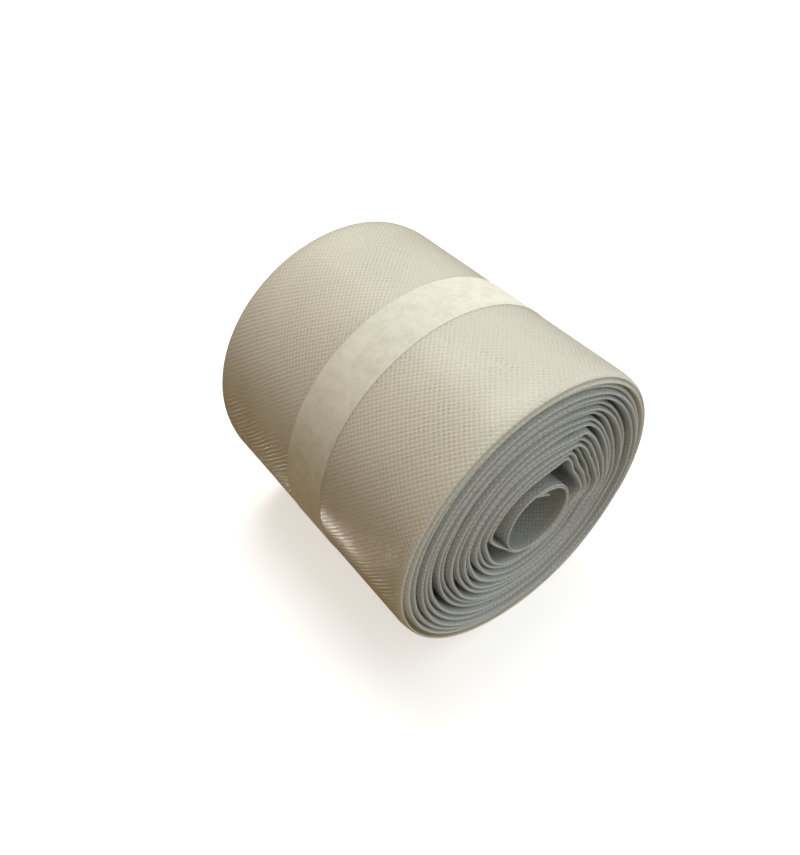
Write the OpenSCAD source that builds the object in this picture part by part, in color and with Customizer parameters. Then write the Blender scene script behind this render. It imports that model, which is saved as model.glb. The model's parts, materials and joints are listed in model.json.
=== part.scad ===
// Tree guard tube: a lay-flat mesh sleeve wound into a roll, held by a glued paper band.
// The roll's axis is along X. The origin is on the ground under the middle of the roll.

/* [Wound sleeve] */
// Lay-flat width of the sleeve, which is the length of the roll
sleeve_w = 150; // [120:1:180]
// Outer radius of the roll
roll_r = 72.4; // [68:0.1:80]
// Radius of the space that the loose innermost turn lies in
loose_r = 24.4; // [23:0.1:27]
// Number of tightly wound outer turns
outer_turns = 9; // [7:1:10]
// Number of slacker turns inside them
middle_turns = 7; // [5:1:8]
// Radius that the roll's two ends are rounded to at the outside
shoulder_r = 4.5; // [3:0.1:6]
// Half the width of the flat that the roll rests on
rest_half_w = 11; // [8:0.5:14]

/* [Loose innermost turn] */
// Outer radius of the innermost turn
core_r = 19.5; // [18:0.1:21]
// Thickness of the innermost turn
core_t = 3; // [2:0.1:3.5]
// Direction in which the innermost turn touches the turns round it
core_lean = -45; // [-60:1:-30]
// Thickness of the two plies where the sleeve steps in to the innermost turn
link_t = 1.6; // [1:0.1:2]
// Angle on the innermost turn at which that step runs into it
link_a = 215; // [205:1:225]

/* [Loose inner end] */
// Length of the sleeve's inner end that stands off the innermost turn
inner_end_l = 8; // [5:0.5:10]
// Thickness of the inner end
inner_end_t = 1; // [0.8:0.1:1.4]
// Angle of the inner end's root round the innermost turn
inner_root_a = 96; // [90:1:110]
// Slope of the inner end at rest
inner_end_slope = -28; // [-35:1:-20]

/* [Outer end] */
// Angle of the sleeve's cut outer edge round the roll
outer_edge_a = -24; // [-30:1:-20]
// Angle that the last stretch of the sleeve covers
outer_end_span = 75; // [60:1:90]
// Thickness of the last stretch, pressed flat
outer_end_t = 1.2; // [1:0.1:1.5]
// Open step in front of the cut edge, as an angle
outer_step_a = 2; // [1:0.5:4]

/* [Paper band] */
// Width of the paper band
band_w = 26; // [20:1:40]
// Thickness of the paper
band_t = 0.2; // [0.1:0.05:0.4]
// Middle of the band along the roll
band_x = 2.9; // [-10:0.1:10]
// Angle of the glued tab's root
tab_root_a = 8; // [5:1:12]
// Angle that the glued tab covers
tab_span = 24; // [20:1:26]
// Thickness of the glue line
glue_t = 0.1; // [0.05:0.05:0.15]
// Bare margin round the glue line
glue_margin = 2; // [1:0.5:4]

/* [Hidden] */
$fn = 96;
slip = 0.05;
turn_t = (roll_r - loose_r) / (outer_turns + middle_turns);
split_r = roll_r - outer_turns * turn_t;
// the roll's axis is this high, so that the band's flat lies on the ground
rest_h = sqrt(roll_r * roll_r - rest_half_w * rest_half_w);
axis_z = rest_h + slip + band_t;
band_r = roll_r + slip;
tab_r = band_r + band_t + glue_t;
// the valley between two folded edges is this far short of the fold's centre line
valley = 0.5;
// every third turn stands out fully, and the others are set back in steps
set_back = 0.3;
core_off = loose_r - core_r - slip;
inner_root_r = core_r - core_t - slip - inner_end_t / 2;
mesh_colour = [0.83, 0.82, 0.76];
inner_colour = [0.68, 0.69, 0.65];
paper_colour = [0.90, 0.88, 0.78];

// turns a shape drawn round Z into one round the roll's axis, with angles from +Y towards +Z
module on_axis() {
    translate([0, 0, axis_z]) rotate([90, 0, 90]) children();
}

// the loose innermost turn lies to one side of the roll's axis
module on_core() {
    on_axis() translate([core_off * cos(core_lean), core_off * sin(core_lean), 0]) children();
}

// how far the rounded shoulder draws in a turn at radius r
function drawn_in(r) =
    let (past = r - (roll_r - shoulder_r))
    past > 0 ? shoulder_r - sqrt(shoulder_r * shoulder_r - past * past) : 0;

// a flattened turn cut through: a long bar with a round fold at each end
module turn_section(r, thick, half_len) {
    translate([r, 0]) {
        square([thick, 2 * (half_len - thick / 2 + valley)], center = true);
        for (end = [-1, 1]) translate([0, end * (half_len - thick / 2)]) circle(d = thick);
    }
}

// turns first to last, counted inwards from the outside
module wound_turns(first, last, trim) {
    rotate_extrude() difference() {
        for (i = [first:last]) {
            r = roll_r - (i + 0.5) * turn_t;
            turn_section(r, turn_t, sleeve_w / 2 - drawn_in(r) - (i % 3) * set_back);
        }
        translate([roll_r - first * turn_t - trim, -sleeve_w]) square([turn_t, 2 * sleeve_w]);
    }
}

// an arc of a tube wall of the given width along the axis
module wall_arc(r, thick, width, from, span) {
    rotate([0, 0, from]) rotate_extrude(angle = span)
        translate([r, -width / 2]) square([thick, width]);
}

module ground_cut(depth) {
    translate([-sleeve_w, -2 * roll_r - depth, -sleeve_w]) cube([2 * sleeve_w, 2 * roll_r, 2 * sleeve_w]);
}

module sleeve_outer_turns() {
    color(mesh_colour) on_axis() difference() {
        wound_turns(0, outer_turns - 1, 0);
        ground_cut(rest_h);
        wall_arc(roll_r - outer_end_t - slip, turn_t, sleeve_w + turn_t,
                 outer_edge_a - outer_step_a, outer_end_span + 2 * outer_step_a);
    }
}

module sleeve_middle_turns() {
    color(mesh_colour) on_axis() wound_turns(outer_turns, outer_turns + middle_turns - 1, slip);
}

// the straight step by which the sleeve reaches the innermost turn, as far as the turns round it
module link() {
    link_w = sleeve_w - 4;
    intersection() {
        on_axis() cylinder(r = loose_r - slip, h = link_w, center = true);
        on_core() rotate([0, 0, link_a]) translate([core_r - link_t, -2 * loose_r, -link_w / 2])
            cube([link_t, 2 * loose_r, link_w]);
    }
}

module sleeve_core_turn() {
    color(inner_colour) union() {
        on_core() rotate_extrude() turn_section(core_r - core_t / 2, core_t, sleeve_w / 2 - set_back);
        link();
    }
}

// the free inner end, with its rounded root as the hinge line
module sleeve_inner_end() {
    inner_end_w = sleeve_w - 4;
    color(inner_colour) on_core() rotate([0, 0, inner_root_a]) translate([inner_root_r, 0, -inner_end_w / 2])
        rotate([0, 0, inner_end_slope - inner_root_a]) {
            cylinder(d = inner_end_t, h = inner_end_w);
            translate([0, -inner_end_t / 2, 0]) cube([inner_end_l, inner_end_t, inner_end_w]);
            translate([inner_end_l, 0, 0]) cylinder(d = inner_end_t, h = inner_end_w);
        }
}

// the last stretch of the sleeve, up to its cut edge
module sleeve_outer_end() {
    r = roll_r - outer_end_t / 2;
    color(mesh_colour) on_axis() rotate([0, 0, outer_edge_a]) rotate_extrude(angle = outer_end_span)
        turn_section(r, outer_end_t, sleeve_w / 2 - drawn_in(roll_r - turn_t / 2) - outer_end_t / 2);
}

module band_outline(r, depth) {
    difference() {
        circle(r = r);
        translate([-2 * r, -2 * r - depth]) square([4 * r, 2 * r]);
    }
}

module paper_band() {
    color(paper_colour) on_axis() translate([0, 0, band_x - band_w / 2]) linear_extrude(band_w) difference() {
        band_outline(band_r + band_t, axis_z);
        band_outline(band_r, axis_z - band_t);
    }
}

// the end of the band that overlaps it and is glued down
module band_tab() {
    color(paper_colour) on_axis() translate([0, 0, band_x])
        wall_arc(tab_r, band_t, band_w, tab_root_a, tab_span);
}

module band_glue() {
    margin_a = glue_margin / tab_r * 180 / PI;
    color("ivory") on_axis() translate([0, 0, band_x])
        wall_arc(band_r + band_t, glue_t - slip / 2, band_w - 2 * glue_margin,
                 tab_root_a + 3 * margin_a, tab_span - 4 * margin_a);
}

sleeve_outer_turns();
sleeve_middle_turns();
sleeve_core_turn();
sleeve_inner_end();
sleeve_outer_end();
paper_band();
band_tab();
band_glue();
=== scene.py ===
"""Looks of the tree guard tube: a flat mesh sleeve wound into a roll, held by a paper band.

Lengths are in millimetres until a mesh is made, and angles are in degrees from +Y towards +Z round
the roll's axis. A path is a row of (y, z) points, and the sleeve's starts at its cut outer edge.
"""

import json
import math
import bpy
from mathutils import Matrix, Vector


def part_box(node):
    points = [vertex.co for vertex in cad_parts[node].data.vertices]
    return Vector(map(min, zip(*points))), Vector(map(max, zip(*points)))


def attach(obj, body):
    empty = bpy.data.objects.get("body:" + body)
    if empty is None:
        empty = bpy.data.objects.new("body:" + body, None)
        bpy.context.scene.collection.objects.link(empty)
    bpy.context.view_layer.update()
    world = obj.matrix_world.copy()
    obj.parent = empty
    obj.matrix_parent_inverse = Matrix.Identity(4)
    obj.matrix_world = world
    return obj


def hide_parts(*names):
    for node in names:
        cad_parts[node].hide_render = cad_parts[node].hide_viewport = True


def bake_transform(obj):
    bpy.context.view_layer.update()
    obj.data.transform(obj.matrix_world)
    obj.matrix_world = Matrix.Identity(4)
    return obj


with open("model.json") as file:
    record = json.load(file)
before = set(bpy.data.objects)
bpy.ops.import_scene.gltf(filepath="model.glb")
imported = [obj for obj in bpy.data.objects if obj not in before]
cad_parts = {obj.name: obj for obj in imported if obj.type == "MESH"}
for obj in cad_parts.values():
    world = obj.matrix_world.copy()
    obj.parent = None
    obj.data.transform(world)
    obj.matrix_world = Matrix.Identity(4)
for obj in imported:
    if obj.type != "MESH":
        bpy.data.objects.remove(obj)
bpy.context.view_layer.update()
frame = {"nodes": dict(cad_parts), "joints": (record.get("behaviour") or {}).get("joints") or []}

from types import SimpleNamespace

import bpy
import numpy as np
from mathutils import Vector

MM = 0.001
JOINTS = {joint["name"]: joint for joint in frame["joints"]}


def node_box(node):
    """Lowest and highest corner of a CAD node, in millimetres."""
    low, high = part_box(node)
    return np.array(low) / MM, np.array(high) / MM


OUTER_LOW, OUTER_HIGH = node_box("sleeve_outer_turns")
CORE_LOW, CORE_HIGH = node_box("sleeve_core_turn")
BAND_LOW, BAND_HIGH = node_box("paper_band")

HALF_W = OUTER_HIGH[0]
ROLL_R = -OUTER_LOW[1]
AXIS_Z = OUTER_HIGH[2] - ROLL_R
REST_H = AXIS_Z - OUTER_LOW[2]
CORE_R = (CORE_HIGH[2] - CORE_LOW[2]) / 2
CORE_Y = CORE_HIGH[1] - CORE_R
CORE_Z = (CORE_HIGH[2] + CORE_LOW[2]) / 2 - AXIS_Z
BAND_MID = (BAND_LOW[0] + BAND_HIGH[0]) / 2
BAND_W = BAND_HIGH[0] - BAND_LOW[0]


# ---------------------------------------------------------------- camera, lamps and floor

# from the middle of the roll
EYE = Vector((209.2, -176.9, 271.4))
AIM = Vector((-6.6, -11.2, -2.0))
LENS = 33.4
SENSOR = 36.0

# name, place in metres from the middle of the roll, watts, size in metres, colour
LAMPS = (
    ("key", (-0.38, 0.28, 1.15), 10.4, 0.8, (1.0, 0.985, 0.955)),
    ("glint", (0.95, -0.85, 0.62), 0.5, 0.12, (1.0, 0.94, 0.86)),
    # stands for what a pale floor throws up, and shines through the floor, which casts no shadow
    ("floor_glint", (-0.52, -0.38, -0.78), 0.62, 0.13, (1.0, 0.92, 0.80)),
)

FLOOR_SIZE = 30.0
FLOOR_COLOUR = (0.95, 0.95, 0.95, 1)
FLOOR_GLOW = 0.5


def roll_middle():
    return Vector((0, 0, AXIS_Z * MM))


def facing(direction):
    return direction.to_track_quat("-Z", "Y").to_euler()


def new_object(name, data):
    thing = bpy.data.objects.new(name, data)
    bpy.context.scene.collection.objects.link(thing)
    return thing


def make_camera():
    data = bpy.data.cameras.new("camera")
    data.lens = LENS
    data.sensor_width = SENSOR
    data.clip_start = 0.01
    data.clip_end = 50
    camera = new_object("camera", data)
    camera.location = roll_middle() + EYE * MM
    camera.rotation_euler = facing((AIM - EYE) * MM)
    bpy.context.scene.camera = camera


def make_lamp(name, place, watts, size, colour):
    """A square soft light that faces the middle of the roll."""
    data = bpy.data.lights.new(name, "AREA")
    data.energy = watts
    data.size = size
    data.color = colour
    lamp = new_object(name, data)
    lamp.location = roll_middle() + Vector(place)
    lamp.rotation_euler = facing(-Vector(place))


# ---------------------------------------------------------------- shader nodes


def connect(tree, socket, value):
    if isinstance(value, bpy.types.NodeSocket):
        tree.links.new(value, socket)
    else:
        socket.default_value = value


def add_node(tree, kind, **inputs):
    """A node with its inputs set or linked. In a name, _ stands for a space, and i1 is input 1."""
    node = tree.nodes.new(kind)
    for name, value in inputs.items():
        numbered = name[0] == "i" and name[1:].isdigit()
        key = int(name[1:]) if numbered else name.replace("_", " ")
        connect(tree, node.inputs[key], value)
    return node


def calc(tree, operation, *values, clamp=False):
    node = tree.nodes.new("ShaderNodeMath")
    node.operation = operation
    node.use_clamp = clamp
    for socket, value in zip(node.inputs, values):
        connect(tree, socket, value)
    return node.outputs[0]


def remap(tree, value, low, high, to_low=0.0, to_high=1.0, smooth=False):
    node = tree.nodes.new("ShaderNodeMapRange")
    if smooth:
        node.interpolation_type = "SMOOTHSTEP"
    for socket, given in zip(node.inputs, (value, low, high, to_low, to_high)):
        connect(tree, socket, given)
    return node.outputs[0]


def mix_colours(tree, share, first, second):
    node = tree.nodes.new("ShaderNodeMix")
    node.data_type = "RGBA"
    connect(tree, node.inputs[0], share)
    connect(tree, node.inputs[6], first)
    connect(tree, node.inputs[7], second)
    return node.outputs[2]


def noise(tree, place, scale, detail, **others):
    node = add_node(tree, "ShaderNodeTexNoise", Vector=place, Scale=scale, Detail=detail, **others)
    return node.outputs["Fac"]


def bump(tree, height, distance, strength=1.0):
    node = add_node(tree, "ShaderNodeBump", Strength=strength, Distance=distance, Height=height)
    return node.outputs[0]


def new_material(name):
    """A material and its node tree, which is empty."""
    material = bpy.data.materials.new(name)
    material.use_nodes = True
    material.node_tree.nodes.clear()
    return material, material.node_tree


def set_surface(tree, shader):
    out = tree.nodes.new("ShaderNodeOutputMaterial")
    tree.links.new(shader.outputs[0], out.inputs[0])


UV_NAME = "sleeve"


def sheet_place(tree):
    """Where a point is on its sheet, in metres: along it first, then across it."""
    uv = add_node(tree, "ShaderNodeUVMap")
    uv.uv_map = UV_NAME
    return uv.outputs[0]


# ---------------------------------------------------------------- room and floor

ROOM_WARM = (0.212, 0.138, 0.060, 1)
ROOM_COOL = (0.75, 0.785, 0.77, 1)
ROOM_AXIS = (0.60, 0.72, 0.36)
WARM_UP_TO = -0.20
COOL_FROM = 0.62
BACKDROP = (1, 1, 1, 1)


def make_room():
    """Light from all round: dim and warm from the low front side, and cooler from the rest."""
    world = bpy.data.worlds.new("room")
    bpy.context.scene.world = world
    world.use_nodes = True
    tree = world.node_tree
    tree.nodes.clear()
    way = add_node(tree, "ShaderNodeTexCoord").outputs["Generated"]
    dot = add_node(tree, "ShaderNodeVectorMath", i0=way, i1=Vector(ROOM_AXIS).normalized())
    dot.operation = "DOT_PRODUCT"
    share = remap(tree, dot.outputs["Value"], WARM_UP_TO, COOL_FROM, smooth=True)
    light = mix_colours(tree, share, ROOM_WARM, ROOM_COOL)
    seen = add_node(tree, "ShaderNodeLightPath").outputs["Is Camera Ray"]
    shade = add_node(tree, "ShaderNodeBackground", Color=mix_colours(tree, seen, light, BACKDROP))
    out = tree.nodes.new("ShaderNodeOutputWorld")
    tree.links.new(shade.outputs[0], out.inputs[0])


def floor_material():
    material, tree = new_material("floor_paint")
    paint = add_node(
        tree, "ShaderNodeBsdfPrincipled", Base_Color=FLOOR_COLOUR, Roughness=0.9, Specular_IOR_Level=0.0,
        Emission_Color=(1, 1, 1, 1), Emission_Strength=FLOOR_GLOW,
    )
    set_surface(tree, paint)
    return material


def make_floor():
    """A plain pale floor. It takes shadows, and the room's light stands for what it would throw up."""
    half = FLOOR_SIZE / 2
    mesh = bpy.data.meshes.new("floor")
    corners = [(-half, -half, 0), (half, -half, 0), (half, half, 0), (-half, half, 0)]
    mesh.from_pydata(corners, [], [(0, 1, 2, 3)])
    mesh.materials.append(floor_material())
    floor = new_object("floor", mesh)
    floor.visible_diffuse = False
    floor.visible_glossy = False
    floor.visible_transmission = False
    floor.visible_shadow = False


# ---------------------------------------------------------------- the net

# strand spacings in a metre along the sleeve and round it, a whole number in its girth
NET_ALONG = 375.0
NET_ROUND = 115 / 0.3
# a strand's half width, in spacings
STRAND = 0.25
# how high strands stand, in metres, for soft shading and for glints
STRAND_SOFT = 0.00010
STRAND_HIGH = 0.00030
# how far the strands sway, in spacings, and over what scale
SWAY = 0.09
SWAY_SCALE = 60.0
# the ply underneath: its angle, and how much it wanders against the one on top
UNDER_TURN = math.radians(10)
UNDER_LOOSE = 6.0
# how much of a hole is closed by film and by what lies under it, from patch to patch
HOLE_CLOSED = (0.69, 0.90)
CLOUD_SCALE = 25.0
# the least strength of a crossing's painted glint, where no crossing of the ply underneath lies under it
GLINT_ON_LONE_KNOT = 0.30
# metres from a fold: where the net closes up, the crease with its painted highlight, and a fainter painted
# highlight line beside it
FOLD_PLAIN = (0.002, 0.009)
CREASE = 0.0013
SIDE_HIGHLIGHT_AT = 0.0023
SIDE_HIGHLIGHT_WIDE = 0.0006
GRAIN = 1300.0
# the sleeve is painted darker and greyer from its outer turns to its inner ones over this stretch of its
# length, in metres, as painted shade inside the roll and on its ends
TONE_FROM = 0.45
TONE_TO = 1.5
OUTER_TONE = (0.925, 0.90, 0.805, 1)
# the inner turns' colour: darker and greyer, as painted shade
INNER_SHADED_TONE = (0.665, 0.68, 0.645, 1)
# white of the painted highlights: on the folds, partly the whitening of creased plastic, and the painted
# glints on the crossings
WHITENING_AND_HIGHLIGHT = (0.985, 0.98, 0.962, 1)
GLOW_SHARE = 0.38


def strand_family(tree, phase):
    """(1 on a strand and 0 beside it, the strand's round height) for one set of parallel strands."""
    off = calc(tree, "DIVIDE", calc(tree, "PINGPONG", phase, 0.5), STRAND)
    on = calc(tree, "LESS_THAN", off, 1.0)
    fall = calc(tree, "MULTIPLY", off, off)
    return on, calc(tree, "SQRT", calc(tree, "SUBTRACT", 1.0, fall, clamp=True))


def lattice(tree, along, across):
    """(1 on any strand, height, 1 at the middle of a crossing) for two crossing sets of strands."""
    on_a, high_a = strand_family(tree, calc(tree, "ADD", along, across))
    on_b, high_b = strand_family(tree, calc(tree, "SUBTRACT", along, across))
    knot = calc(tree, "MULTIPLY", high_a, high_b)
    ridge = calc(tree, "MAXIMUM", high_a, calc(tree, "MULTIPLY", high_b, 0.8))
    return calc(tree, "MAXIMUM", on_a, on_b), calc(tree, "MULTIPLY_ADD", knot, 0.5, ridge), knot


def turned(tree, along, across, angle):
    """A lattice's two phases, turned by that angle."""
    cos, sin = math.cos(angle), math.sin(angle)
    along_turned = calc(tree, "MULTIPLY_ADD", across, -sin, calc(tree, "MULTIPLY", along, cos))
    across_turned = calc(tree, "MULTIPLY_ADD", across, cos, calc(tree, "MULTIPLY", along, sin))
    return along_turned, across_turned


def both_plies(tree, place, along_m, across_m):
    """The lattice on top, and the height and crossings of the one underneath."""
    wander = noise(tree, place, SWAY_SCALE, 2.0)
    sway = remap(tree, wander, 0.3, 0.7, -SWAY, SWAY)
    along = calc(tree, "MULTIPLY_ADD", along_m, NET_ALONG, sway)
    across = calc(tree, "MULTIPLY", across_m, NET_ROUND)
    top = lattice(tree, along, across)
    loose = calc(tree, "MULTIPLY_ADD", wander, UNDER_LOOSE, along)
    _, under_height, under_knot = lattice(tree, *turned(tree, loose, across, UNDER_TURN))
    return top, under_height, under_knot


def fold_distance(tree, across_m):
    """Metres round the tube to its nearer fold. The folds are at -1, 1 and 3 half widths, one twice."""
    half = HALF_W * MM
    from_middle = calc(tree, "ABSOLUTE", across_m)
    from_fold = calc(tree, "ABSOLUTE", calc(tree, "SUBTRACT", from_middle, half))
    from_end = calc(tree, "ABSOLUTE", calc(tree, "SUBTRACT", across_m, 3 * half))
    return calc(tree, "MINIMUM", from_fold, from_end)


def fold_highlight_and_whitening(tree, edge, speck, height):
    """Painted highlight on the folds, partly the whitening of creased plastic: the crease and a fainter
    painted line beside it, in beads that are brighter on the strands' tops.
    """
    crest_highlight = remap(tree, edge, 0.0, CREASE, 1.0, 0.0, smooth=True)
    side_highlight_off = calc(tree, "ABSOLUTE", calc(tree, "SUBTRACT", edge, SIDE_HIGHLIGHT_AT))
    side_highlight = remap(tree, side_highlight_off, 0.0, SIDE_HIGHLIGHT_WIDE, 0.7, 0.0, smooth=True)
    beads = calc(tree, "MULTIPLY_ADD", speck, 0.55, remap(tree, height, 0.3, 1.3, 0.1, 0.45))
    return calc(tree, "MULTIPLY", calc(tree, "MAXIMUM", crest_highlight, side_highlight), beads)


def net_tone(tree, along_m, cloud, speck, fold_near):
    """The plastic's colour, painted darker and greyer along the sleeve towards its inner turns as painted
    shade, clouded and rougher at the folds.
    """
    # painted shade: the inner turns are darker and greyer than the outer ones
    inwards = remap(tree, along_m, TONE_FROM, TONE_TO, smooth=True)
    tone = mix_colours(tree, inwards, OUTER_TONE, INNER_SHADED_TONE)
    clouding = remap(tree, cloud, 0.35, 0.65, 0.96, 1.01)
    rough_edge = calc(tree, "MULTIPLY", fold_near, remap(tree, speck, 0, 1, -0.10, 0.06))
    value = calc(tree, "ADD", clouding, rough_edge)
    return add_node(tree, "ShaderNodeHueSaturation", Color=tone, Value=value).outputs[0]


def plastic_shader(tree, colour, height, painted_glint):
    """Glossy strands that let some light through."""
    soft = bump(tree, height, STRAND_SOFT)
    glint = bump(tree, height, STRAND_HIGH)
    gloss = remap(tree, painted_glint, 0.0, 0.6, 0.24, 0.12)
    plastic = add_node(
        tree, "ShaderNodeBsdfPrincipled", Base_Color=colour, Roughness=gloss, IOR=1.5, Normal=soft,
        Specular_IOR_Level=0.2, Coat_Weight=0.9, Coat_Roughness=gloss, Coat_Normal=glint,
    )
    glow = add_node(tree, "ShaderNodeBsdfTranslucent", Color=colour, Normal=soft)
    return add_node(
        tree, "ShaderNodeMixShader", i0=GLOW_SHARE, i1=plastic.outputs[0], i2=glow.outputs[0]
    )


def net_material():
    """White plastic mesh: crossing round strands, fine film between them, painted highlights on the folds,
    partly their whitening, and painted glints on the crossings.
    """
    material, tree = new_material("white_net")
    place = sheet_place(tree)
    split = add_node(tree, "ShaderNodeSeparateXYZ", Vector=place)
    along_m, across_m = split.outputs[0], split.outputs[1]
    (on, height, knot), under_height, under_knot = both_plies(tree, place, along_m, across_m)
    edge = fold_distance(tree, across_m)
    fold_near = remap(tree, edge, FOLD_PLAIN[0], FOLD_PLAIN[1], 1.0, 0.0, smooth=True)
    speck = remap(tree, noise(tree, place, GRAIN, 1.0), 0.38, 0.62)
    cloud = noise(tree, place, CLOUD_SCALE, 3.0)

    closed = remap(tree, cloud, 0.40, 0.60, HOLE_CLOSED[0], HOLE_CLOSED[1], smooth=True)
    film = remap(tree, under_height, 0.2, 1.0, closed, 1.0)
    film = calc(tree, "MAXIMUM", film, calc(tree, "MULTIPLY", fold_near, 0.95))
    solid = calc(tree, "MAXIMUM", on, film)
    # painted glints: the middles of the crossings are painted white, more where a crossing of the ply
    # underneath lies under them, and half as much at the folds
    both = calc(tree, "MULTIPLY_ADD", under_knot, 1 - GLINT_ON_LONE_KNOT, GLINT_ON_LONE_KNOT)
    off_fold = remap(tree, fold_near, 0, 1, 1.0, 0.5)
    painted_glint = calc(tree, "MULTIPLY", knot, calc(tree, "MULTIPLY", both, off_fold))

    # painted highlights along the fold crests and a fainter painted line beside them, partly the whitening
    # of creased plastic
    fold_light = fold_highlight_and_whitening(tree, edge, speck, height)
    tone = net_tone(tree, along_m, cloud, speck, fold_near)
    # the painted highlights and the painted glints are mixed into the plastic's colour
    colour = mix_colours(tree, calc(tree, "MAXIMUM", fold_light, painted_glint), tone, WHITENING_AND_HIGHLIGHT)
    strand = plastic_shader(tree, colour, height, painted_glint)
    hole = add_node(tree, "ShaderNodeBsdfTransparent")
    net = add_node(tree, "ShaderNodeMixShader", i0=solid, i1=hole.outputs[0], i2=strand.outputs[0])
    set_surface(tree, net)
    return material


# ---------------------------------------------------------------- paper and glue

PAPER_COLOUR = (0.80, 0.79, 0.705, 1)
PAPER_FLECK = (0.64, 0.625, 0.525, 1)
PAPER_CLOUD = 150.0
# fibres in a metre along the strip and across it
FIBRES = (900, 2600, 1)
GLUE_DARK = (0.62, 0.55, 0.38, 1)
GLUE_PALE = (0.80, 0.75, 0.60, 1)
GLUE_LUMPS = 700.0


def paper_material():
    """Matt cream paper with soft clouding and short fibres."""
    material, tree = new_material("cream_paper")
    place = sheet_place(tree)
    cloud = noise(tree, place, PAPER_CLOUD, 6.0, Roughness=0.7)
    stretch = add_node(tree, "ShaderNodeMapping", Vector=place, Scale=FIBRES)
    fibre = noise(tree, stretch.outputs[0], 1.0, 3.0, Distortion=1.5)
    share = calc(tree, "MULTIPLY_ADD", fibre, 0.5, calc(tree, "MULTIPLY", cloud, 0.5))
    shade = mix_colours(tree, remap(tree, share, 0.38, 0.56), PAPER_FLECK, PAPER_COLOUR)
    rough = remap(tree, share, 0.3, 0.7, 0.78, 0.92)
    paper = add_node(
        tree, "ShaderNodeBsdfPrincipled", Base_Color=shade, Roughness=rough, Specular_IOR_Level=0.25,
        Normal=bump(tree, share, 0.00015, 0.5),
    )
    set_surface(tree, paper)
    return material


def glue_material():
    """Dried clear glue: yellowish, glossy and lumpy."""
    material, tree = new_material("dry_glue")
    place = add_node(tree, "ShaderNodeTexCoord").outputs["Object"]
    lumps = noise(tree, place, GLUE_LUMPS, 3.0)
    shade = mix_colours(tree, remap(tree, lumps, 0.35, 0.65), GLUE_DARK, GLUE_PALE)
    rough = remap(tree, lumps, 0.3, 0.7, 0.25, 0.5)
    glue = add_node(
        tree, "ShaderNodeBsdfPrincipled", Base_Color=shade, Roughness=rough,
        Normal=bump(tree, lumps, 0.0002, 0.6),
    )
    set_surface(tree, glue)
    return material


# ---------------------------------------------------------------- the sleeve's path

# points in a turn
STEPS = 180
# where the cut outer edge is, and where the last wound turn leaves for the innermost one
OUTER_EDGE = -24.0
LEAVE = 172.0
FULL_TURNS = 15
# half of a flat sleeve's thickness, the least distance from turn to turn, and a hair's clearance
PLY = 0.42
LEAST_GAP = 1.75
SLACK = 0.02
# how far the outermost turn goes before it dips under its own cut edge
FIRST_DIP = 275.0
# outline of the innermost wound turn, (angle, radius)
INNER_OUTLINE = (
    (4, 28.6), (31, 26.0), (48, 28.6), (58, 29.6), (66, 27.0), (85, 23.6), (118, 22.0), (144, 22.4),
    (172, 23.6), (199, 22.9), (226, 24.6), (253, 25.8), (287, 26.2), (312, 27.2), (337, 27.6), (351, 31.6),
)
# slack pockets between turns, (angle, radius, half angle, how far the turns are pushed apart)
POCKETS = (
    (72, 43.5, 26, 1.2), (352, 37.0, 14, 0.8), (222, 36.0, 24, 1.0), (128, 51.0, 34, 0.8),
    (172, 43.0, 26, 0.6), (118, 34.0, 30, 0.8), (196, 55.5, 22, 0.4), (98, 58.5, 26, 0.4),
)
# wandering of the turns, (size, angle over which it changes, seed)
WANDER = ((0.55, 62, 11), (0.30, 27, 5))


def smooth_step(t):
    return t * t * (3 - 2 * t)


def drift(where, step, seed):
    """Smooth wandering values from -1 to 1, which change over about that step."""
    knots = where / step
    first = math.floor(knots.min())
    count = int(math.ceil(knots.max())) - first + 3
    values = np.random.default_rng(seed).uniform(-1, 1, count)
    whole = np.floor(knots).astype(int)
    part = smooth_step(knots - whole)
    return values[whole - first] * (1 - part) + values[whole - first + 1] * part


def hermite(t, start, end, start_way, end_way):
    """Points of a smooth curve from start to end, which leaves and arrives with those slopes."""
    return (
        start * (1 + 2 * t) * (1 - t) ** 2
        + end * t * t * (3 - 2 * t)
        + start_way * t * (1 - t) ** 2
        + end_way * t * t * (t - 1)
    )


def periodic(angles, table):
    """A smooth closed curve through (angle, value) pairs, read at those angles."""
    at = np.array([pair[0] for pair in table], float)
    value = np.array([pair[1] for pair in table], float)
    at = np.concatenate([at - 360, at, at + 360])
    value = np.tile(value, 3)
    slope = np.gradient(value, at)
    a = np.mod(angles, 360.0)
    i = np.searchsorted(at, a, side="right") - 1
    width = at[i + 1] - at[i]
    return hermite((a - at[i]) / width, value[i], value[i + 1], slope[i] * width, slope[i + 1] * width)


def flat_radius(angles, height):
    """How far a flat floor, that height below the axis, is from it in each direction."""
    return height / np.maximum(-np.sin(np.radians(angles)), 1e-3)


def outer_radius(angles):
    """The outermost turn's middle line: a circle, flat where the roll rests."""
    return np.minimum(ROLL_R - PLY - SLACK, flat_radius(angles, REST_H - PLY - SLACK))


def push_apart(angles, radii, depth):
    """Opens the slack pockets, more so away from the outermost turn."""
    for at, radius, wide, push in POCKETS:
        away = np.mod(angles - at + 180, 360) - 180
        side = np.tanh((radii - radius) / 1.6) * np.exp(-np.abs(radii - radius) / 7)
        radii += push * side * np.exp(-((away / wide) ** 2)) * np.clip(depth / 0.15, 0, 1)


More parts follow.
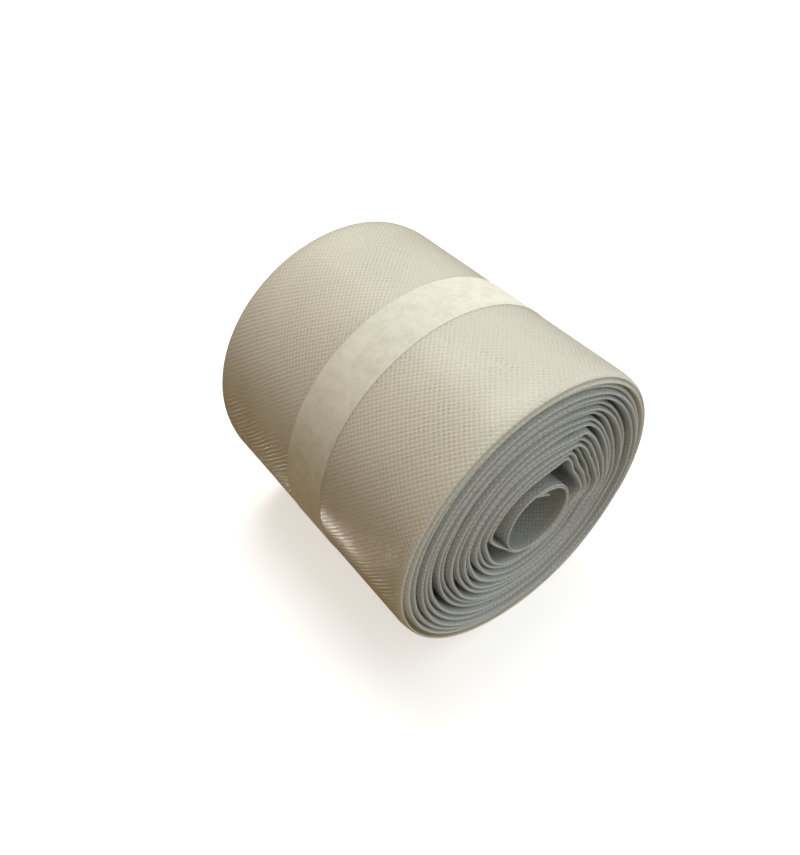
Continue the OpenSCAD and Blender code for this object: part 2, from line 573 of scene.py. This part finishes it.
def wound_path():
    """(angles, radii) of the wound turns, from the cut outer edge inwards."""
    span = LEAVE - OUTER_EDGE + 360 * FULL_TURNS
    count = int(round(span / 360 * STEPS))
    gone = np.arange(count + 1) * 360 / STEPS
    angles = OUTER_EDGE + gone
    depth = np.arange(count + 1) / count
    out, core = outer_radius(angles), periodic(angles, INNER_OUTLINE)
    out = out - LEAST_GAP * smooth_step(np.clip((gone - FIRST_DIP) / (360 - FIRST_DIP), 0, 1))
    radii = out - (out - core) * np.clip((gone - 360) / (span - 360), 0, 1)
    free = np.clip((depth - 0.06) / 0.25, 0, 1) * (1 - 0.5 * np.clip((depth - 0.8) / 0.2, 0, 1))
    for size, step, seed in WANDER:
        radii += size * free * drift(angles, step, seed)
    push_apart(angles, radii, depth)
    for i in range(STEPS, count + 1):
        radii[i] = min(radii[i], radii[i - STEPS] - LEAST_GAP)
    return angles, radii


MOST_ROOM = 3.0


def spacing(radii):
    """Half of the room that each point of the path has to its nearer neighbour turn."""
    outward = np.full(len(radii), MOST_ROOM)
    outward[STEPS:] = radii[:-STEPS] - radii[STEPS:]
    inward = np.full(len(radii), MOST_ROOM)
    inward[:-STEPS] = radii[:-STEPS] - radii[STEPS:]
    return np.minimum(outward, inward) / 2


def polar(angles, radii, y=0.0, z=0.0):
    a = np.radians(angles)
    return np.stack([y + radii * np.cos(a), z + radii * np.sin(a)], 1)


def lengths(points):
    return np.concatenate([[0], np.cumsum(np.linalg.norm(np.diff(points, axis=0), axis=1))])


def directions(points):
    """Unit tangents, and normals that point away from the roll's middle on a wound turn."""
    ahead = np.gradient(points, axis=0)
    ahead /= np.linalg.norm(ahead, axis=1)[:, None]
    return ahead, np.stack([ahead[:, 1], -ahead[:, 0]], 1)


# where the sleeve steps in to the loose innermost turn, and where its inner end is folded back
LINK_JOIN = 215.0
FLAP_ROOT = 96.0
CURL_OUTER = 19.0
# how much the curl closes in each turn, and half of its thickness at the folds
CURL_PITCH = 1.05
CURL_HALF = 0.5
CURL_STEPS = 132
CURL_WANDER = (0.10, 55, 3)
# points of the step in to the curl, and how straight it leaves and arrives
LINK_POINTS = 17
LINK_PULL = 17.0


def curl_path(first_point, first_way):
    """The step in to the loose innermost turn, and that turn, as far as the inner end's fold."""
    span = 360 + FLAP_ROOT - LINK_JOIN + 360
    count = int(span / 360 * CURL_STEPS)
    a = LINK_JOIN + np.linspace(0, span, count + 1)
    size, step, seed = CURL_WANDER
    radii = CURL_OUTER - CURL_PITCH * (a - LINK_JOIN) / 360
    radii += size * drift(a, step, seed)
    curl = polar(a, radii, CORE_Y, CORE_Z)
    end_way = np.array([-math.sin(math.radians(LINK_JOIN)), math.cos(math.radians(LINK_JOIN))])
    t = np.linspace(0, 1, LINK_POINTS + 2)[1:-1, None]
    link = hermite(t, first_point, curl[0], first_way * LINK_PULL, end_way * LINK_PULL)
    return np.concatenate([link, curl])


# ---------------------------------------------------------------- sweeping a flattened tube

# the round of a fold, and how far behind it the tube's other points are
FOLD_ANGLES = (0, 14, 30, 48, 68, 90)
FOLD_BACK = (2.0, 4.5, 8.0, 24.0)
# how far from its fold a tube lies flat, and how far from it a turn's edge is bent inwards
FOLD_LOFT = 12.0
SHOULDER = 7.5
# a fold is this much longer than it is high
FOLD_LONG = 2.5
# how much the net's pattern is bowed across the sleeve
BOW = 0.00125


def half_section(tip, half, shift):
    """(x, offset of the upper ply, offset of the middle line) from the fold to the middle, in rows."""
    a = np.radians(FOLD_ANGLES)[:, None]
    x_fold = tip - FOLD_LONG * half * (1 - np.cos(a))
    h_fold = half * np.sin(a)
    back = np.array(FOLD_BACK)[:, None]
    x_flat = tip - FOLD_LONG * half - back
    ease = np.clip(1 - back / FOLD_LOFT, 0, 1)
    h_flat = PLY + (half - PLY) * smooth_step(ease)
    x = np.concatenate([x_fold, x_flat, 0 * tip[None]])
    h = np.concatenate([h_fold, h_flat, 0 * tip[None] + PLY])
    near = np.clip((x - (tip - SHOULDER)) / SHOULDER, 0, 1)
    return x, h, shift * near * near


def tube_section(left, right):
    """A whole closed section, from the left fold over the upper ply to the right fold and back under."""
    x_l, h_l, m_l = left
    x_r, h_r, m_r = right
    x = np.concatenate([-x_l, x_r[-2::-1], x_r[1:], -x_l[-2:0:-1]])
    h = np.concatenate([h_l, h_r[-2::-1], -h_r[1:], -h_l[-2:0:-1]])
    m = np.concatenate([m_l, m_r[-2::-1], m_r[1:], m_l[-2:0:-1]])
    return x, h + m


def section_lengths(x, h):
    """How far round the tube each point of a section is, with each ply as wide as the flat sleeve."""
    step = np.hypot(np.diff(x, axis=0), np.diff(h, axis=0))
    total = np.concatenate([0 * x[:1], np.cumsum(step, axis=0)])
    close = np.hypot(x[0] - x[-1], h[0] - h[-1])
    ply = len(x) // 2
    upper = total[: ply + 1] / total[ply]
    lower = (total[ply:] - total[ply]) / (total[-1] + close - total[ply])
    return np.concatenate([upper[:-1], 1 + lower]) * 2 * HALF_W - HALF_W


def ring_faces(rings, size):
    """Quads between rings of that many points, with each quad's ring, point and next point."""
    i, j = np.meshgrid(np.arange(rings - 1), np.arange(size), indexing="ij")
    i, j = i.ravel(), j.ravel()
    k = (j + 1) % size
    faces = np.stack([i * size + j, i * size + k, (i + 1) * size + k, (i + 1) * size + j], 1)
    return faces, i, j, k


def tube_uv(along, around, i, j, k):
    """The net's place on each corner of each quad. The last quad of a ring ends where a tube closes."""
    side = np.abs(np.where(around > HALF_W, 2 * HALF_W - around, around))
    u = (along[None] + BOW * side**2).T
    v = around.T
    v_end = np.where(k == 0, 3 * HALF_W, v[i, k])
    v_end_next = np.where(k == 0, 3 * HALF_W, v[i + 1, k])
    corners = (
        (u[i, j], v[i, j]), (u[i, k], v_end), (u[i + 1, k], v_end_next), (u[i + 1, j], v[i + 1, j])
    )
    return np.stack([np.stack(corner, 1) for corner in corners], 1).reshape(-1, 2)


def mesh_piece(name, co, faces, uv, material):
    """A smooth piece from its points and its corners' places on the sheet, both in millimetres."""
    mesh = bpy.data.meshes.new(name)
    mesh.from_pydata(co * MM, [], faces)
    layer = mesh.uv_layers.new(name=UV_NAME)
    layer.data.foreach_set("uv", (uv * MM).astype(np.float32).ravel())
    mesh.polygons.foreach_set("use_smooth", np.ones(len(mesh.polygons), bool))
    mesh.materials.append(material)
    return new_object(name, mesh)


def sweep(name, points, along, tip_l, tip_r, half, shift, material):
    """A flattened tube that follows points. Each point has its own folds' places and thickness."""
    _, out = directions(points)
    x, h = tube_section(half_section(tip_l, half, shift), half_section(tip_r, half, shift))
    rows, count = x.shape
    place = points[None] + h[:, :, None] * out[None]
    co = np.stack([x, place[:, :, 0], place[:, :, 1] + AXIS_Z], 2)
    faces, i, j, k = ring_faces(count, rows)
    uv = tube_uv(along, section_lengths(x, h), i, j, k)
    return mesh_piece(name, co.transpose(1, 0, 2).reshape(-1, 3), faces.tolist(), uv, material)


# ---------------------------------------------------------------- the wound sleeve

# turns in from the outside, and the most that half of a fold's thickness may be there
HALF_AT = ((0.0, 1.0, 2.5, 3.5), (0.5, 0.95, 1.5, 2.2))
# turns in from the outside, and how far the edges there are bent inwards
SHIFT_AT = ((0.0, 0.6, 1.6, 2.6, 4.0), (-1.3, -1.2, -0.7, -0.3, 0.0))
# the room of one turn, by which a depth is counted in turns
TURN_ROOM = 3.0
LEAST_HALF = 0.6
MOST_HALF = 2.2
# how much of its room a fold fills, and how much more at the lower right
FILLED = 0.82
FILLED_MORE = 0.12
FULLEST_AT = 300
# how far short of the CAD's end every fold lies
TIP_BACK = 0.15
# how much the outermost turn is drawn in, and how fast that falls with each turn
DRAWN = 1.9
DRAWN_FALL = 0.8
# unevenness of all folds, and of those that aren't outermost, (size, angle over which it changes)
UNEVEN = (0.75, 48)
SET_BACK = (2.6, 260)
# the same for the curl: how far back its folds lie, and how they wave, (size, angle, seed)
CURL_TIP_BACK = 0.8
CURL_WAVE = (0.4, 40, 41)
CURL_WAVE_STEP = 2.7


def wound_half(angles, radii, turns_in):
    """Half of the tube's thickness beside its folds: they fill the room that they have."""
    toward = 0.5 + 0.5 * np.cos(np.radians(angles - FULLEST_AT))
    half = np.clip(spacing(radii) * (FILLED + FILLED_MORE * toward), LEAST_HALF, MOST_HALF)
    return np.minimum(half, np.interp(turns_in, *HALF_AT))


def wound_tips(angles, turns_in, seed):
    """Where one side's folds lie. The outermost turns are drawn in, and the others are uneven."""
    drawn = DRAWN * np.exp(-DRAWN_FALL * turns_in)
    size, step = UNEVEN
    tips = HALF_W - TIP_BACK - drawn - size * (0.5 + 0.5 * drift(angles, step, seed))
    size, step = SET_BACK
    set_back = size * np.clip(turns_in - 1.0, 0, 1)
    return tips - set_back * (0.5 + 0.5 * drift(angles, step, seed + 10))


def carry_on(values, ease, to):
    """Values for the wound turns, then changing smoothly to those of the innermost one."""
    return np.concatenate([values, values[-1] * (1 - ease) + to * ease])


def sleeve_path():
    """The whole sleeve: its points, its length up to each, and its section there."""
    angles, radii = wound_path()
    turns_in = (ROLL_R - radii) / TURN_ROOM
    wound = polar(angles, radii)
    tail = curl_path(wound[-1], directions(wound)[0][-1])
    ease = np.clip(np.arange(len(tail)) / LINK_POINTS, 0, 1)
    size, step, seed = CURL_WAVE
    wave = size * drift(np.arange(len(tail)) * CURL_WAVE_STEP, step, seed)
    points = np.concatenate([wound, tail])
    return SimpleNamespace(
        angles=angles,
        radii=radii,
        points=points,
        along=lengths(points),
        half=carry_on(wound_half(angles, radii, turns_in), ease, CURL_HALF),
        shift=np.concatenate([np.interp(turns_in, *SHIFT_AT), np.zeros(len(tail))]),
        tip_r=carry_on(wound_tips(angles, turns_in, 21), ease, HALF_W - CURL_TIP_BACK + wave),
        tip_l=carry_on(wound_tips(angles, turns_in, 22), ease, HALF_W - CURL_TIP_BACK - wave),
    )


OUTER_STEPS = 200
PACKED_STEPS = OUTER_STEPS + 8 * STEPS
WIDTH = 2 * HALF_W * MM


def build_sleeve(sleeve, net):
    """The stretches of the sleeve that ride on the roll. Short ones are declared cut open."""
    last_wound = len(sleeve.radii) - 1
    stretches = (
        ("net_outer_turn", "sleeve_outer_end", 0, OUTER_STEPS, 2 * WIDTH),
        ("net_packed_turns", "sleeve_outer_turns", OUTER_STEPS, PACKED_STEPS, WIDTH),
        ("net_slack_turns", "sleeve_middle_turns", PACKED_STEPS, last_wound, WIDTH),
        ("net_core_turn", "sleeve_core_turn", last_wound, len(sleeve.points) - 1, 2 * WIDTH),
    )
    for name, node, first, last, flat_width in stretches:
        part = slice(first, last + 1)
        piece = sweep(
            name, sleeve.points[part], sleeve.along[part], sleeve.tip_l[part], sleeve.tip_r[part],
            sleeve.half[part], sleeve.shift[part], net,
        )
        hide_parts(node)
        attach(piece, "roll")


# ---------------------------------------------------------------- the loose inner end

# the flap's slope and length in the CAD, how much shorter it is here, and how it sags to its end
FLAP_SLOPE = -28.0
FLAP_LONG = 8.0
FLAP_SHORT = 0.2
FLAP_SAG = 0.35
FLAP_HALF = 0.5
# how far its folds lie back, at its root and more at its end
FLAP_TIP_BACK = (0.9, 0.5)
# the fold ends this far before the joint's axis, and how round it is
FOLD_BEFORE = 1.2
FOLD_PULL = 6.0


def flap_way():
    return np.array([math.cos(math.radians(FLAP_SLOPE)), math.sin(math.radians(FLAP_SLOPE))])


def flap_path(sleeve, pivot):
    """From the innermost turn's end, round a tight fold, and out along the flap."""
    way = flap_way()
    start, start_way = sleeve.points[-1], directions(sleeve.points)[0][-1]
    fold = pivot - way * FOLD_BEFORE
    t = np.linspace(0, 1, 12)[:, None]
    bend = hermite(t, start, fold, start_way * FOLD_PULL, way * FOLD_PULL)
    run = np.linspace(0, FOLD_BEFORE + FLAP_LONG - FLAP_SHORT, 16)[1:, None]
    sag = FLAP_SAG * (run / FLAP_LONG) ** 2
    return np.concatenate([bend, fold + way * run - np.array([[0, 1]]) * sag])


def build_inner_end(sleeve, net):
    pivot = Vector(JOINTS["inner_end_swing"]["pos_m"])
    points = flap_path(sleeve, np.array([pivot.y, pivot.z]) / MM - np.array([0, AXIS_Z]))
    along = lengths(points)
    taper = np.linspace(0, 1, len(points))
    half = CURL_HALF * (1 - taper) + FLAP_HALF * taper
    tip = HALF_W - FLAP_TIP_BACK[0] - FLAP_TIP_BACK[1] * taper
    flat = np.zeros(len(points))
    piece = sweep("net_inner_end", points, sleeve.along[-1] + along, tip, tip, half, flat, net)
    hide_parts("sleeve_inner_end")
    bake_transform(piece)


# ---------------------------------------------------------------- the paper band

PAPER_T = 0.2
PAPER_CLEAR = 0.05
PAPER_ROWS = 9
# how much the cut edges wave, and (angle over which each does, seed) for the left and the right
EDGE_WAVE = 0.12
EDGE_WAVES = ((40, 51), (35, 52))
# where the ring ends, which the tab carries on, the tab's fold, and its tip
RING_END = 4.0
TAB_ROOT = 8.0
TAB_TIP = 32.0
# how far the tab climbs over the ring's beginning, which is this far past the fold
TAB_LIFT = 0.3
SEAM = 0.6
RING_STEPS = 240
TAB_STEPS = 40


def band_radius(sleeve, angles):
    """The paper's inner face: taut, so straight wherever the net falls away, and flat on the ground."""
    around = sleeve.angles[:STEPS]
    ground = flat_radius(around, AXIS_Z - PAPER_T)
    held = np.where(ground < ROLL_R, ground, sleeve.radii[:STEPS] + PLY + PAPER_CLEAR)
    # a taut strip follows the lines that just touch the net, each across one direction
    side = np.radians(np.arange(0, 360, 0.5))
    reach = (held * np.cos(np.radians(around) - side[:, None])).max(1)
    turn = np.cos(np.radians(angles)[:, None] - side)
    return np.where(turn > 0.5, reach / np.maximum(turn, 0.5), np.inf).min(1)


def strip_points(angles, points, wave_at):
    """Rings of points round a strip's section: the outer face, then the inner one."""
    rows = np.linspace(-0.5, 0.5, PAPER_ROWS)[None]
    _, out = directions(points)
    count = len(angles)
    left, right = [EDGE_WAVE * drift(wave_at, step, seed) for step, seed in EDGE_WAVES]
    x = BAND_MID + rows * BAND_W
    x = x + np.where(rows < 0, left[:, None], right[:, None]) * (np.abs(rows) * 2) ** 4
    y = np.repeat(points[:, :1], PAPER_ROWS, 1)
    z = np.repeat(points[:, 1:], PAPER_ROWS, 1)
    inner = np.stack([x, y, z], 2)
    thick = np.concatenate([np.zeros((count, 1)), out * PAPER_T], 1)
    outer = inner + thick[:, None]
    loop = np.concatenate([outer, inner[:, ::-1]], 1)
    loop[:, :, 2] += AXIS_Z
    return loop


def end_caps(count, size):
    """Quads that close a strip's first and last ring."""
    caps = []
    for r in (0, count - 1):
        for c in range(PAPER_ROWS - 1):
            quad = [r * size + c, r * size + c + 1, r * size + size - 2 - c, r * size + size - 1 - c]
            caps.append(quad if r == 0 else quad[::-1])
    return caps


def strip(name, angles, radii, wave_at, material):
    """A strip of paper with its thickness, bent to those radii, and its length in metres."""
    points = polar(angles, radii)
    along = lengths(points)
    loop = strip_points(angles, points, wave_at)
    count, size = loop.shape[:2]
    faces = ring_faces(count, size)[0].tolist() + end_caps(count, size)
    vertex = np.concatenate([np.array(face) for face in faces])
    uv = np.stack([along[vertex // size], loop.reshape(-1, 3)[vertex, 0]], 1)
    piece = mesh_piece(name, loop.reshape(-1, 3), faces, uv, material)
    edges = piece.modifiers.new("crisp_edges", "EDGE_SPLIT")
    edges.split_angle = math.radians(50)
    return piece, along[-1] * MM


def build_band(sleeve, paper):
    angles = np.linspace(TAB_ROOT + SEAM, 360 + RING_END, RING_STEPS + 1)
    ring, ring_long = strip("paper_band_strip", angles, band_radius(sleeve, angles), angles, paper)
    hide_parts("paper_band")
    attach(ring, "band")


def build_tab(sleeve, paper):
    """The strip's end, which climbs over the strip's beginning. It is built lying on the ring; nothing
    here peels it back from its fold.
    """
    angles = np.linspace(RING_END, TAB_TIP, TAB_STEPS + 1)
    climb = np.clip((angles - RING_END) / (TAB_ROOT - RING_END), 0, 1)
    radii = band_radius(sleeve, angles) + TAB_LIFT * smooth_step(climb)
    tab, tab_long = strip("paper_tab", angles, radii, angles + 360, paper)
    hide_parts("band_tab")
    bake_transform(tab)


def dress_glue():
    glue = frame["nodes"]["band_glue"]
    glue.data.materials.clear()
    glue.data.materials.append(glue_material())


# ---------------------------------------------------------------- all of it

make_camera()
make_floor()
make_room()
for lamp in LAMPS:
    make_lamp(*lamp)
bpy.context.scene.view_settings.view_transform = "Standard"

whole_sleeve = sleeve_path()
white_net = net_material()
cream_paper = paper_material()
build_sleeve(whole_sleeve, white_net)
build_inner_end(whole_sleeve, white_net)
build_band(whole_sleeve, cream_paper)
build_tab(whole_sleeve, cream_paper)
dress_glue()
